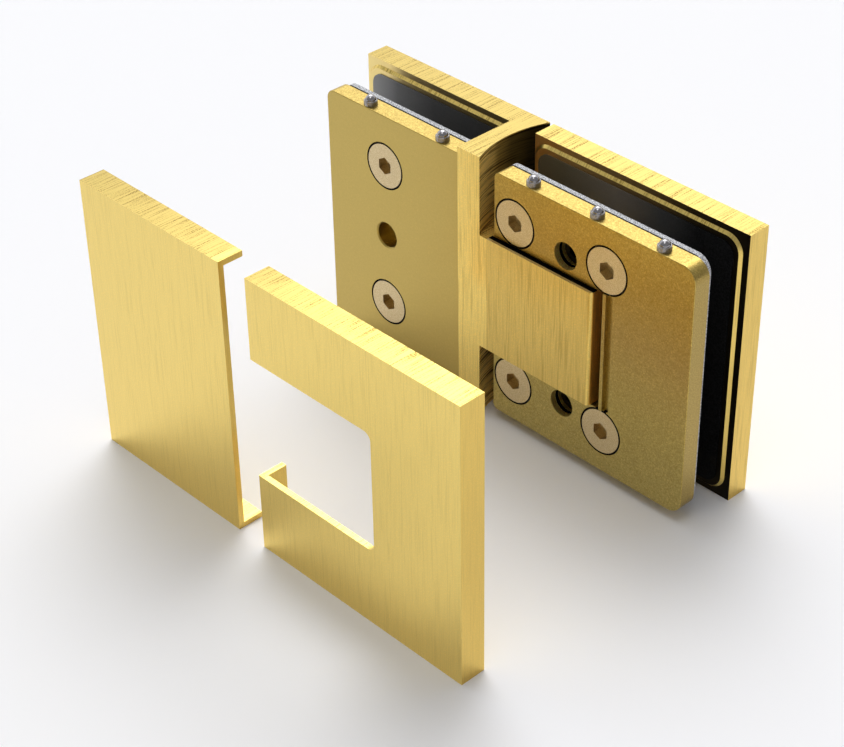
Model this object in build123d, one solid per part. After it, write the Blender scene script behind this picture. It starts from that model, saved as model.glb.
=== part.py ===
from build123d import *
import os
from math import hypot, sqrt

# Shower door hinge, glass to glass, 180 degrees.
# Frame: origin on the pin's axis at the level of the lower edges, X towards the door
# leaf, Y towards the back, Z up. Millimetres.

# Overall outline
PLATE_HEIGHT = 90.0
FIXED_LENGTH = 60.5          # rear plate of the fixed side, outer end to the web
LEAF_REACH = 48.8            # pin axis to the leaf's free end
LEAF_TAIL = 30.4             # pin axis to the leaf's other end, beside the knuckle

# Section through the clamp, front to back
PLATE_SETBACK = 2.1          # knuckle face to front plate face
FRONT_PLATE_THICK = 5.8
FRONT_GASKET_THICK = 2.2
GLASS_THICK = 10.0
PAD_PROUD = 1.2              # rear gasket stands this far off the rear plate
REAR_PLATE_THICK = 7.7

# Knuckle and web
ARM_HEIGHT = 25.7            # leaf's arms above and below the knuckle
KNUCKLE_REACH = 11.9
KNUCKLE_EDGE_RADIUS = 1.3
KNUCKLE_END_GAP = 0.6        # above and below the knuckle, to the leaf
KNUCKLE_SWEEP_GAP = 0.45     # knuckle corners to the leaf's relief
SWING_GAP = 0.12             # leaf swung square, to the knuckle's faces
WEB_THIN = 5.8
WEB_SWEEP_GAP = 1.3          # leaf corners to the hollow of the web

# Front clamp plates
SIDE_INSET = 2.3
END_INSET = 3.7
WEB_JOINT_GAP = 0.3
OUTER_CORNER = 4.8           # leaf's front plate, free end
FIXED_CORNER = 3.2           # fixed front plate, outer end
INNER_CORNER = 2.0
FACE_EDGE = 0.3
LINER_INSET = 1.4            # liner short of the plate's outer end
LIP_WIDTH = 1.2              # raised strip beside the knuckle
LIP_RISE = 0.35
GROOVE_WIDTH = 2.3
GROOVE_DEPTH = 1.0
GROOVE_CORNER = 1.1

# Rear pads: a raised bevelled land with the gasket let into it
LAND_RISE = 0.85
LAND_RIM = 1.55
PAD_RECESS = 0.7
PAD_CORNER = 4.1
LAND_CORNER = 5.5
PAD_END_MARGIN = 4.25
PAD_FIXED_MARGIN = 3.15
PAD_LEAF_MARGIN = 4.45
PAD_TAIL_MARGIN = 2.45
PAD_WEB_MARGIN = 1.5
PAD_NOTCH_MARGIN = 1.8
BEVEL_MARGIN = 0.02          # left of the land's side under its bevel

# Countersunk clamp screws
SCREW_RADIUS = 4.0
SCREW_CLEARANCE = 0.3
SCREW_HEAD_RADIUS = 7.4
SINK_GAP = 0.35
SINK_RIM = 0.3
SCREW_END_WALL = 1.8         # metal left behind the screw's end
SCREW_TIP_GAP = 0.3
SCREW_TIP_CHAMFER = 0.8
HEX_ACROSS = 5.0
HEX_DEPTH = 3.0
FIXED_SCREW_X = 27.3         # from the fixed side's outer end
FIXED_SCREW_END = 20.7       # from the upper and lower edges
LEAF_SCREW_LEFT = -19.8
LEAF_SCREW_RIGHT = 15.35
SINK_OVER_NOTCH = 0.2        # sink's rim past the edge of the opening
PULL_HOLE_RADIUS = 4.1
PULL_HOLE_DEPTH = 4.6
PULL_HOLE_CHAMFER = 0.4

# Pin, bosses, bushes
PIN_RADIUS = 5.0
BOSS_HALF_WIDTH = 8.5
BOSS_HEIGHT = 12.6
BOSS_CLEARANCE = 0.3
PIN_END_DROP = 0.8           # pin end below the top of its boss
PIN_CHAMFER = 0.8
LOCK_HEIGHT = 5.5            # lock screw above the knuckle notch
LOCK_FLAT = 1.0
LOCK_LENGTH = 4.5
LOCK_HEX_ACROSS = 4.0
LOCK_HEX_DEPTH = 2.2
LOCK_GROOVE_DEPTH = 0.7
LOCK_GROOVE_WIDTH = 1.0
LOCK_GROOVE_START = 2.1
BUSH_TO_CAM = 0.6            # metal between a bush and the plunger beside it
BUSH_WALL = 1.46
BUSH_FLANGE_RADIUS = 8.0
BUSH_FLANGE_THICK = 0.4
RUNNING_GAP = 0.04
SNUG_GAP = 0.02

# Centring plungers in the knuckle
CAM_RADIUS = 4.45
CAM_LENGTH = 16.0
CAM_PITCH = 10.4
CAM_FLAT = 0.7               # depth of the flats on the pin
CAM_PARK_GAP = 0.05
CAM_NOSE_CHAMFER = 0.8
CAM_BORE_GAP = 0.05
PIN_BORE_GAP = 0.3
PLUG_LENGTH = 6.0
CAM_SPRING_WIRE = 1.16
CAM_SPRING_END_GAP = 0.02
CAM_SPRING_RADIUS = 3.2
CAM_SPRING_PITCH = 2.8

# Sprung detents that hold the covers
SLEEVE_RADIUS = 2.1
SLEEVE_PROUD = 1.6
SLEEVE_DEPTH = 6.0
SLEEVE_FLOOR = 0.5
SLEEVE_CHAMFER = 0.2
SLEEVE_SETBACK = 2.4         # plate face to sleeve axis
DETENT_RADIUS = 1.7
DETENT_BORE_GAP = 0.05
DETENT_PROUD = 3.1
DETENT_TAIL = 1.5
DETENT_SPRING_RADIUS = 1.45
DETENT_SPRING_WIRE = 0.3
FIXED_DETENTS = (19.3, 49.9)  # from the fixed side's outer end
LEAF_DETENT_END = 15.5       # outer two from the leaf's ends

# Push-on covers, shown pulled off straight to the front
COVER_WALL = 1.8
COVER_DEPTH = 8.3
COVER_WEB_GAP = 0.4
COVER_NOTCH_GAP = 0.12
COVER_KNUCKLE_GAP = 4.4
COVER_NOTCH_CORNER = 2.4
COVER_DIMPLE = 0.5
COVER_PULL = 87.2

# Places worked out from the sizes above
DEPTH = (PLATE_SETBACK + FRONT_PLATE_THICK + FRONT_GASKET_THICK + GLASS_THICK
         + PAD_PROUD + REAR_PLATE_THICK)
MID_Z = PLATE_HEIGHT / 2
FRONT_Y = -DEPTH / 2
BACK_Y = DEPTH / 2
PLATE_Y = FRONT_Y + PLATE_SETBACK
PLATE_BACK_Y = PLATE_Y + FRONT_PLATE_THICK
GLASS_FRONT_Y = PLATE_BACK_Y + FRONT_GASKET_THICK
GLASS_BACK_Y = GLASS_FRONT_Y + GLASS_THICK
REAR_Y = BACK_Y - REAR_PLATE_THICK
LAND_Y = REAR_Y - LAND_RISE
PAD_FLOOR_Y = REAR_Y + PAD_RECESS
SCREW_TIP_Y = BACK_Y - SCREW_END_WALL

WEB_RADIUS = hypot(LEAF_TAIL, DEPTH / 2) + WEB_SWEEP_GAP
WEB_X = -(WEB_RADIUS + WEB_THIN)
FIXED_X = WEB_X - FIXED_LENGTH
KNUCKLE_HALF = MID_Z - ARM_HEIGHT
NOTCH_HALF = KNUCKLE_HALF + KNUCKLE_END_GAP
SWEEP_RADIUS = KNUCKLE_EDGE_RADIUS + hypot(KNUCKLE_REACH - KNUCKLE_EDGE_RADIUS,
                                           DEPTH / 2 - KNUCKLE_EDGE_RADIUS)
RELIEF_RADIUS = SWEEP_RADIUS + KNUCKLE_SWEEP_GAP
SWING_X = DEPTH / 2 + SWING_GAP
WINDOW_X = KNUCKLE_REACH + COVER_KNUCKLE_GAP

SINK_RADIUS = SCREW_HEAD_RADIUS + SINK_GAP
FIXED_SCREW_Z = MID_Z - FIXED_SCREW_END
LEAF_SCREW_Z = NOTCH_HALF + SINK_RADIUS - SINK_OVER_NOTCH
LOCK_Z = NOTCH_HALF + LOCK_HEIGHT
LOCK_FLAT_Y = -(PIN_RADIUS - LOCK_FLAT)
BOSS_TOP = NOTCH_HALF + BOSS_HEIGHT
PIN_HALF = BOSS_TOP - PIN_END_DROP
BUSH_RADIUS = PIN_RADIUS + RUNNING_GAP + BUSH_WALL
BUSH_LENGTH = KNUCKLE_HALF - CAM_PITCH / 2 - CAM_RADIUS - CAM_BORE_GAP - BUSH_TO_CAM
CAM_TIP_X = -(PIN_RADIUS + CAM_PARK_GAP)
CAM_BACK_X = CAM_TIP_X - CAM_LENGTH
PLUG_X = WEB_X + PLUG_LENGTH
SLEEVE_Y = PLATE_Y + SLEEVE_SETBACK
TOP_EDGE = MID_Z - END_INSET


# Building blocks

def slab(x, y, z):
    """Box between two values on each axis."""
    return Pos(x[0], y[0], z[0]) * Box(x[1] - x[0], y[1] - y[0], z[1] - z[0],
                                       align=(Align.MIN, Align.MIN, Align.MIN))


def drill(radius, y, x=0.0, z=0.0):
    """Round bar along Y between two values of y."""
    return Pos(x, (y[0] + y[1]) / 2, z) * Rot(90, 0, 0) * Cylinder(radius, y[1] - y[0])


def column(radius, z, x=0.0, y=0.0):
    """Round bar along Z between two values of z."""
    return Pos(x, y, (z[0] + z[1]) / 2) * Cylinder(radius, z[1] - z[0])


def rod(radius, x, z=0.0):
    """Round bar along X between two values of x, at the pin's depth."""
    return Pos((x[0] + x[1]) / 2, 0, z) * Rot(0, 90, 0) * Cylinder(radius, x[1] - x[0])


def turned(points, axis):
    """Turned shape from (radius, distance along the axis) points."""
    if axis == Axis.Z:
        profile = make_face(Plane.XZ * Polyline(*points, close=True))
    else:
        profile = make_face(Polyline(*points, close=True))
    return revolve(profile, axis)


def hexagon(across, y, x=0.0, z=0.0):
    """Hexagonal bar along Y between two values of y."""
    flat = Pos(x, y[0], z) * Rot(-90, 0, 0) * RegularPolygon(across / sqrt(3), 6, rotation=30)
    return extrude(flat, y[1] - y[0], dir=(0, 1, 0))


def round_uprights(body, x, radius):
    """Round the edges along Y that stand at one value of x."""
    edges = body.edges().filter_by(Axis.Y).filter_by_position(Axis.X, x - 0.01, x + 0.01)
    return fillet(edges, radius)


def raised(shape):
    """Move a shape from mid height at zero to its real height."""
    return Pos(0, 0, MID_Z) * shape


def joined(shapes):
    """Separate solids kept as one group."""
    return Compound(list(shapes))


# Fixed side

def land(x, z, corner):
    """Raised land on a rear plate, its outline bevelled at 45 degrees."""
    body = slab(x, (LAND_Y, REAR_Y), z)
    body = round_uprights(body, x[0], corner)
    body = round_uprights(body, x[1], corner)
    return chamfer(body.faces().sort_by(Axis.Y)[0].edges(), LAND_RISE - BEVEL_MARGIN)


def pad_outline(x, y, z, corners):
    """Gasket slab with rounded corners."""
    body = slab(x, y, z)
    for place, radius in zip(x, corners):
        body = round_uprights(body, place, radius)
    return body


def hinge_body():
    """One casting: rear plate, web with its hollow, and knuckle block."""
    plate = slab((FIXED_X, WEB_X + 1), (REAR_Y, BACK_Y), (-MID_Z, MID_Z))
    web = slab((WEB_X, 0), (FRONT_Y, BACK_Y), (-MID_Z, MID_Z))
    web -= column(WEB_RADIUS, (-MID_Z, MID_Z))
    knuckle = slab((WEB_X + WEB_THIN / 2, KNUCKLE_REACH), (FRONT_Y, BACK_Y),
                   (-KNUCKLE_HALF, KNUCKLE_HALF))
    ends = knuckle.edges().filter_by(Axis.Z).group_by(Axis.X)[-1]
    knuckle = fillet(ends, KNUCKLE_EDGE_RADIUS)
    around = LAND_RIM + LAND_RISE
    pad_land = land((FIXED_X + PAD_FIXED_MARGIN - around, WEB_X + PAD_CORNER + around),
                    (-MID_Z + PAD_END_MARGIN - around, MID_Z - PAD_END_MARGIN + around),
                    LAND_CORNER)
    pad_land &= slab((FIXED_X, WEB_X), (FRONT_Y, BACK_Y), (-MID_Z, MID_Z))
    body = plate + web + knuckle + pad_land
    body -= fixed_pad(PAD_FLOOR_Y, REAR_Y - PAD_PROUD)
    for x, z in fixed_screw_places():
        body -= drill(SCREW_RADIUS + SNUG_GAP, (LAND_Y, SCREW_TIP_Y), x, z)
    body -= column(PIN_RADIUS + PIN_BORE_GAP, (-KNUCKLE_HALF, KNUCKLE_HALF))
    for end in (-1, 1):
        inner, outer = end * (KNUCKLE_HALF - BUSH_LENGTH), end * KNUCKLE_HALF
        body -= column(BUSH_RADIUS + SNUG_GAP, (min(inner, outer), max(inner, outer)))
        body -= rod(CAM_RADIUS + CAM_BORE_GAP, (WEB_X, 0), end * CAM_PITCH / 2)
    return body


def fixed_screw_places():
    """Places of the fixed side's two clamp screws."""
    return [(FIXED_X + FIXED_SCREW_X, z) for z in (-FIXED_SCREW_Z, FIXED_SCREW_Z)]


def fixed_pad(back, front):
    """Outline of the fixed side's rear gasket between two depths."""
    return pad_outline((FIXED_X + PAD_FIXED_MARGIN, WEB_X - PAD_WEB_MARGIN), (front, back),
                       (-MID_Z + PAD_END_MARGIN, MID_Z - PAD_END_MARGIN),
                       (PAD_CORNER, PAD_CORNER))


def fixed_rear_gasket():
    """Black pad between the glass and the rear plate."""
    body = fixed_pad(PAD_FLOOR_Y, GLASS_BACK_Y)
    for x, z in fixed_screw_places():
        body -= drill(SCREW_RADIUS + SCREW_CLEARANCE, (GLASS_BACK_Y, PAD_FLOOR_Y), x, z)
    return body


def front_plate_blank(x, corners):
    """Clamp plate with rounded corners and an eased front edge."""
    body = pad_outline(x, (PLATE_Y, PLATE_BACK_Y), (-TOP_EDGE, TOP_EDGE), corners)
    return fillet(body.faces().sort_by(Axis.Y)[0].edges(), FACE_EDGE)


def countersink():
    """Cutter for a screw hole through a front plate, its axis along Y."""
    end = PLATE_BACK_Y
    hole = SCREW_RADIUS + SCREW_CLEARANCE
    cone_end = PLATE_Y + SINK_RIM + SINK_RADIUS - hole
    return turned([(0, PLATE_Y), (SINK_RADIUS, PLATE_Y), (SINK_RADIUS, PLATE_Y + SINK_RIM),
                   (hole, cone_end), (hole, end), (0, end)], Axis.Y)


def fixed_front_plate():
    """Front clamp plate of the fixed side."""
    body = front_plate_blank((FIXED_X + SIDE_INSET, WEB_X - WEB_JOINT_GAP),
                             (FIXED_CORNER, INNER_CORNER))
    for x, z in fixed_screw_places():
        body -= Pos(x, 0, z) * countersink()
    wide, deep = PULL_HOLE_RADIUS + PULL_HOLE_CHAMFER, PLATE_Y + PULL_HOLE_DEPTH
    body -= Pos(FIXED_X + FIXED_SCREW_X, 0, 0) * turned(
        [(0, PLATE_Y), (wide, PLATE_Y), (PULL_HOLE_RADIUS, PLATE_Y + PULL_HOLE_CHAMFER),
         (PULL_HOLE_RADIUS, deep), (0, deep)], Axis.Y)
    return body - sleeve_holes(fixed_detent_places())


def fixed_front_gasket():
    """Grey liner between the front plate and the glass."""
    y = (PLATE_BACK_Y, GLASS_FRONT_Y)
    body = pad_outline((FIXED_X + SIDE_INSET + LINER_INSET, WEB_X - WEB_JOINT_GAP), y,
                       (-TOP_EDGE, TOP_EDGE), (FIXED_CORNER, INNER_CORNER))
    for x, z in fixed_screw_places():
        body -= drill(SCREW_RADIUS + SCREW_CLEARANCE, y, x, z)
    return body


def plate_screw():
    """Countersunk screw with a hexagon socket, its axis along Y."""
    tip = SCREW_TIP_Y - SCREW_TIP_GAP
    cone_start = PLATE_Y + SINK_RIM + SINK_GAP
    cone_end = cone_start + SCREW_HEAD_RADIUS - SCREW_RADIUS
    body = turned([(0, PLATE_Y), (SCREW_HEAD_RADIUS, PLATE_Y), (SCREW_HEAD_RADIUS, cone_start),
                   (SCREW_RADIUS, cone_end), (SCREW_RADIUS, tip - SCREW_TIP_CHAMFER),
                   (SCREW_RADIUS - SCREW_TIP_CHAMFER, tip), (0, tip)], Axis.Y)
    return body - hexagon(HEX_ACROSS, (PLATE_Y, PLATE_Y + HEX_DEPTH))


def fixed_plate_screws():
    """The fixed side's two clamp screws."""
    return joined(Pos(x, 0, z) * plate_screw() for x, z in fixed_screw_places())


# Bearing and centring pieces in the knuckle

def bush(end):
    """Flanged bearing bush in one end of the knuckle."""
    inner, bore = KNUCKLE_HALF - BUSH_LENGTH, PIN_RADIUS + RUNNING_GAP
    top = KNUCKLE_HALF + BUSH_FLANGE_THICK
    body = turned([(bore, inner), (BUSH_RADIUS, inner), (BUSH_RADIUS, KNUCKLE_HALF),
                   (BUSH_FLANGE_RADIUS, KNUCKLE_HALF), (BUSH_FLANGE_RADIUS, top),
                   (bore, top)], Axis.Z)
    return body if end > 0 else mirror(body, Plane.XY)


def cam_plunger(end):
    """Steel plunger that presses on a flat of the pin."""
    z = end * CAM_PITCH / 2
    body = rod(CAM_RADIUS, (CAM_BACK_X, CAM_TIP_X), z)
    return chamfer(body.faces().sort_by(Axis.X)[-1].edges(), CAM_NOSE_CHAMFER)


def cam_spring(end):
    """Compression spring between plug and plunger."""
    z, half = end * CAM_PITCH / 2, CAM_SPRING_WIRE / 2
    inset = half + CAM_SPRING_END_GAP
    start, stop = PLUG_X + inset, CAM_BACK_X - inset
    coil = Helix(CAM_SPRING_PITCH, stop - start, CAM_SPRING_RADIUS)
    section = Plane(origin=coil @ 0, z_dir=coil % 0) * Circle(half)
    wire = sweep(section, path=coil, is_frenet=True)
    return Pos(start, 0, z) * Rot(0, 90, 0) * wire


def cam_plug(end):
    """Threaded plug behind a spring, with a hexagon socket."""
    z = end * CAM_PITCH / 2
    body = rod(CAM_RADIUS + CAM_BORE_GAP - SNUG_GAP, (WEB_X, PLUG_X), z)
    socket = Pos(WEB_X, 0, z) * Rot(0, 90, 0) * RegularPolygon(LOCK_HEX_ACROSS / sqrt(3), 6)
    return body - extrude(socket, LOCK_HEX_DEPTH, dir=(1, 0, 0))


# Leaf

def notch(y):
    """Cutter for the knuckle's opening in a leaf plate, with its swept relief."""
    half = NOTCH_HALF
    cut = slab((-LEAF_TAIL, SWING_X), y, (-half, half))
    return cut + column(RELIEF_RADIUS, (-half, half))


def leaf_pad(back, front):
    """Outline of the leaf's rear gasket between two depths."""
    body = pad_outline((-LEAF_TAIL + PAD_TAIL_MARGIN, LEAF_REACH - PAD_LEAF_MARGIN),
                       (front, back), (-MID_Z + PAD_END_MARGIN, MID_Z - PAD_END_MARGIN),
                       (PAD_CORNER, PAD_CORNER))
    return body - gasket_cutouts((front, back))


def gasket_cutouts(y):
    """Cutter round the knuckle's opening and the two pin bosses."""
    half = NOTCH_HALF + PAD_NOTCH_MARGIN
    side = BOSS_HALF_WIDTH + BOSS_CLEARANCE
    top = BOSS_TOP + BOSS_CLEARANCE
    cut = slab((-LEAF_TAIL, RELIEF_RADIUS + PAD_NOTCH_MARGIN), y, (-half, half))
    return cut + slab((-side, side), y, (-top, top))


def leaf_screw_places():
    """Places of the leaf's four clamp screws."""
    return [(x, z) for x in (LEAF_SCREW_LEFT, LEAF_SCREW_RIGHT)
            for z in (-LEAF_SCREW_Z, LEAF_SCREW_Z)]


def leaf_rear_plate():
    """Rear plate of the leaf with the two bosses that hold the pin."""
    body = slab((-LEAF_TAIL, LEAF_REACH), (REAR_Y, BACK_Y), (-MID_Z, MID_Z))
    around = LAND_RIM + LAND_RISE
    body += land((-LEAF_TAIL + PAD_TAIL_MARGIN - around, LEAF_REACH - PAD_LEAF_MARGIN + around),
                 (-MID_Z + PAD_END_MARGIN - around, MID_Z - PAD_END_MARGIN + around),
                 LAND_CORNER)
    body -= leaf_pad(PAD_FLOOR_Y, REAR_Y - PAD_PROUD)
    body -= notch((LAND_Y, BACK_Y))
    for low, high in ((-BOSS_TOP, -NOTCH_HALF), (NOTCH_HALF, BOSS_TOP)):
        boss = slab((-BOSS_HALF_WIDTH, BOSS_HALF_WIDTH), (PLATE_BACK_Y, BACK_Y), (low, high))
        body += boss
    body -= column(PIN_RADIUS + SNUG_GAP, (-BOSS_TOP, BOSS_TOP))
    for z in (-LOCK_Z, LOCK_Z):
        body -= drill(SCREW_RADIUS + SNUG_GAP, (PLATE_BACK_Y, LOCK_FLAT_Y + 1), 0, z)
    for x, z in leaf_screw_places():
        body -= drill(SCREW_RADIUS + SNUG_GAP, (LAND_Y, SCREW_TIP_Y), x, z)
    return body


def leaf_rear_gasket():
    """Black pad between the glass and the leaf's rear plate."""
    body = leaf_pad(PAD_FLOOR_Y, GLASS_BACK_Y)
    for x, z in leaf_screw_places():
        body -= drill(SCREW_RADIUS + SCREW_CLEARANCE, (GLASS_BACK_Y, PAD_FLOOR_Y), x, z)
    return body


def lock_hole():
    """Cutter for a lock screw hole with its relief groove, axis along Y."""
    hole, start = SCREW_RADIUS + SCREW_CLEARANCE, PLATE_Y + LOCK_GROOVE_START
    stop, wide = start + LOCK_GROOVE_WIDTH, hole + LOCK_GROOVE_DEPTH
    return turned([(0, PLATE_Y), (hole, PLATE_Y), (hole, start), (wide, start), (wide, stop),
                   (hole, stop), (hole, PLATE_BACK_Y), (0, PLATE_BACK_Y)], Axis.Y)


def leaf_front_plate():
    """Front clamp plate of the leaf, open round the knuckle."""
    body = front_plate_blank((-LEAF_TAIL + SIDE_INSET, LEAF_REACH - SIDE_INSET),
                             (INNER_CORNER, OUTER_CORNER))
    lip = slab((0, SWING_X + LIP_WIDTH), (PLATE_Y - LIP_RISE, PLATE_Y),
               (-NOTCH_HALF, NOTCH_HALF))
    body = body + lip - notch((FRONT_Y, PLATE_BACK_Y))
    centre = SWING_X + LIP_WIDTH + GROOVE_WIDTH / 2
    groove = slab((centre - GROOVE_WIDTH / 2, centre + GROOVE_WIDTH / 2),
                  (PLATE_Y, PLATE_Y + GROOVE_DEPTH), (-NOTCH_HALF, NOTCH_HALF))
    for place in (-1, 1):
        groove = round_uprights(groove, centre + place * GROOVE_WIDTH / 2, GROOVE_CORNER)
    body -= groove
    for x, z in leaf_screw_places():
        body -= Pos(x, 0, z) * countersink()
    for z in (-LOCK_Z, LOCK_Z):
        body -= Pos(0, 0, z) * lock_hole()
    return body - sleeve_holes(leaf_detent_places())


def leaf_front_gasket():
    """Grey liner between the leaf's front plate and the glass."""
    y = (PLATE_BACK_Y, GLASS_FRONT_Y)
    body = pad_outline((-LEAF_TAIL + SIDE_INSET, LEAF_REACH - SIDE_INSET - LINER_INSET), y,
                       (-TOP_EDGE, TOP_EDGE), (INNER_CORNER, OUTER_CORNER))
    body -= gasket_cutouts(y)
    for x, z in leaf_screw_places():
        body -= drill(SCREW_RADIUS + SCREW_CLEARANCE, y, x, z)
    return body


def leaf_plate_screws():
    """The leaf's four clamp screws."""
    return joined(Pos(x, 0, z) * plate_screw() for x, z in leaf_screw_places())


def pivot_pin():
    """Pin with four flats for the plungers and a flat at each lock screw."""
    body = column(PIN_RADIUS, (-PIN_HALF, PIN_HALF))
    rims = body.edges().filter_by(GeomType.CIRCLE)
    body = chamfer(rims, PIN_CHAMFER)
    reach, half = PIN_RADIUS - CAM_FLAT, KNUCKLE_HALF - BUSH_LENGTH
    outside = column(PIN_RADIUS + 1, (-half, half))
    body -= outside - slab((-reach, reach), (-reach, reach), (-half, half))
    flat_half = SCREW_RADIUS + SCREW_CLEARANCE
    for z in (-LOCK_Z, LOCK_Z):
        body -= slab((-PIN_RADIUS, PIN_RADIUS), (-PIN_RADIUS - 1, LOCK_FLAT_Y),
                     (z - flat_half, z + flat_half))
    return body


def pin_lock_screws():
    """Two grub screws that hold the pin in its bosses."""
    front, back = LOCK_FLAT_Y - SNUG_GAP - LOCK_LENGTH, LOCK_FLAT_Y - SNUG_GAP
    screw = drill(SCREW_RADIUS, (front, back))
    screw = chamfer(screw.faces().sort_by(Axis.Y)[0].edges(), SCREW_CLEARANCE)
    screw -= hexagon(LOCK_HEX_ACROSS, (front, front + LOCK_HEX_DEPTH))
    return joined(Pos(0, 0, z) * screw for z in (-LOCK_Z, LOCK_Z))


# Sprung detents along the upper edges

def fixed_detent_places():
    """Places along X of the fixed side's detents."""
    return [FIXED_X + x for x in FIXED_DETENTS]


def leaf_detent_places():
    """Places along X of the leaf's detents, the middle one halfway."""
    left, right = -LEAF_TAIL + LEAF_DETENT_END, LEAF_REACH - LEAF_DETENT_END
    return [left, (left + right) / 2, right]


def sleeve_holes(places):
    """Cutter for the sleeve holes in a plate's upper edge."""
    radius, low = SLEEVE_RADIUS + SNUG_GAP, TOP_EDGE - SLEEVE_DEPTH
    return [column(radius, (low, TOP_EDGE), x, SLEEVE_Y) for x in places]


def sleeve(x):
    """Threaded sleeve of one detent, closed at its inner end."""
    top, low = TOP_EDGE + SLEEVE_PROUD, TOP_EDGE - SLEEVE_DEPTH
    bore, ease = DETENT_RADIUS + DETENT_BORE_GAP, SLEEVE_CHAMFER
    body = turned([(0, low), (SLEEVE_RADIUS, low), (SLEEVE_RADIUS, top - ease),
                   (SLEEVE_RADIUS - ease, top), (bore, top), (bore, low + SLEEVE_FLOOR),
                   (0, low + SLEEVE_FLOOR)], Axis.Z)
    return Pos(x, SLEEVE_Y, 0) * body


def detent_pin(x):
    """Round-nosed sprung pin of one detent."""
    low, shoulder = TOP_EDGE - DETENT_TAIL, TOP_EDGE + DETENT_PROUD - DETENT_RADIUS
    body = column(DETENT_RADIUS, (low, shoulder), x, SLEEVE_Y)
    return body + Pos(x, SLEEVE_Y, shoulder) * Sphere(DETENT_RADIUS)


def detent_spring(x):
    """Closely wound spring under one detent pin, as its envelope."""
    low, high = TOP_EDGE - SLEEVE_DEPTH + SLEEVE_FLOOR, TOP_EDGE - DETENT_TAIL
    body = column(DETENT_SPRING_RADIUS, (low, high), x, SLEEVE_Y)
    return body - column(DETENT_SPRING_RADIUS - DETENT_SPRING_WIRE, (low, high), x, SLEEVE_Y)


def sleeves(places):
    """All sleeves of one plate."""
    return joined(sleeve(x) for x in places)


# Covers

def dimples(places):
    """Shallow hollows in the cover's upper wall where the detents click in."""
    centre = MID_Z - COVER_WALL + COVER_DIMPLE - DETENT_RADIUS
    return [Pos(x, SLEEVE_Y, centre) * Sphere(DETENT_RADIUS) for x in places]


def fixed_cover():
    """Cover of the fixed side: open at the back and beside the web."""
    left, right = FIXED_X, WEB_X - COVER_WEB_GAP
    y = (FRONT_Y, FRONT_Y + COVER_DEPTH)
    body = slab((left, right), y, (-MID_Z, MID_Z))
    inner = MID_Z - COVER_WALL
    body -= slab((left + COVER_WALL, right), (FRONT_Y + COVER_WALL, y[1]), (-inner, inner))
    return Pos(0, -COVER_PULL, 0) * (body - dimples(fixed_detent_places()))


def leaf_cover():
    """Cover of the leaf: open at the back, with a window for the knuckle."""
    left, right = -LEAF_TAIL, LEAF_REACH
    y = (FRONT_Y, FRONT_Y + COVER_DEPTH)
    body = slab((left, right), y, (-MID_Z, MID_Z))
    inner = MID_Z - COVER_WALL
    body -= slab((left + COVER_WALL, right - COVER_WALL), (FRONT_Y + COVER_WALL, y[1]),
                 (-inner, inner))
    half = KNUCKLE_HALF + COVER_NOTCH_GAP
    window = slab((left, WINDOW_X), y, (-half, half))
    body -= round_uprights(window, WINDOW_X, COVER_NOTCH_CORNER)
    return Pos(0, -COVER_PULL, 0) * (body - dimples(leaf_detent_places()))


# All nodes by name

def build():
    """Every node of the hinge, modelled about mid height."""
    nodes = {
        "hinge_body": hinge_body(),
        "fixed_front_plate": fixed_front_plate(),
        "fixed_front_gasket": fixed_front_gasket(),
        "fixed_rear_gasket": fixed_rear_gasket(),
        "fixed_plate_screws": fixed_plate_screws(),
        "fixed_plunger_sleeves": sleeves(fixed_detent_places()),
        "fixed_cover": fixed_cover(),
        "upper_bush": bush(1),
        "lower_bush": bush(-1),
        "upper_cam_plunger": cam_plunger(1),
        "lower_cam_plunger": cam_plunger(-1),
        "upper_cam_spring": cam_spring(1),
        "lower_cam_spring": cam_spring(-1),
        "cam_spring_plugs": joined(cam_plug(end) for end in (1, -1)),
        "leaf_rear_plate": leaf_rear_plate(),
        "leaf_rear_gasket": leaf_rear_gasket(),
        "leaf_front_plate": leaf_front_plate(),
        "leaf_front_gasket": leaf_front_gasket(),
        "leaf_plate_screws": leaf_plate_screws(),
        "leaf_plunger_sleeves": sleeves(leaf_detent_places()),
        "leaf_cover": leaf_cover(),
        "pivot_pin": pivot_pin(),
        "pin_lock_screws": pin_lock_screws(),
    }
    for side, places in (("fixed", fixed_detent_places()), ("leaf", leaf_detent_places())):
        for number, x in enumerate(places, 1):
            nodes[f"{side}_detent_top_{number}"] = detent_pin(x)
            nodes[f"{side}_spring_top_{number}"] = detent_spring(x)
    return nodes


os.makedirs("parts", exist_ok=True)
for name, shape in build().items():
    export_step(raised(shape), f"parts/{name}.step")
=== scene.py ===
"""Shower door hinge in brushed gold with its covers pulled off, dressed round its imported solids."""
from __future__ import annotations

import logging
from dataclasses import dataclass, field
from enum import Enum, IntEnum
from typing import Union

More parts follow.
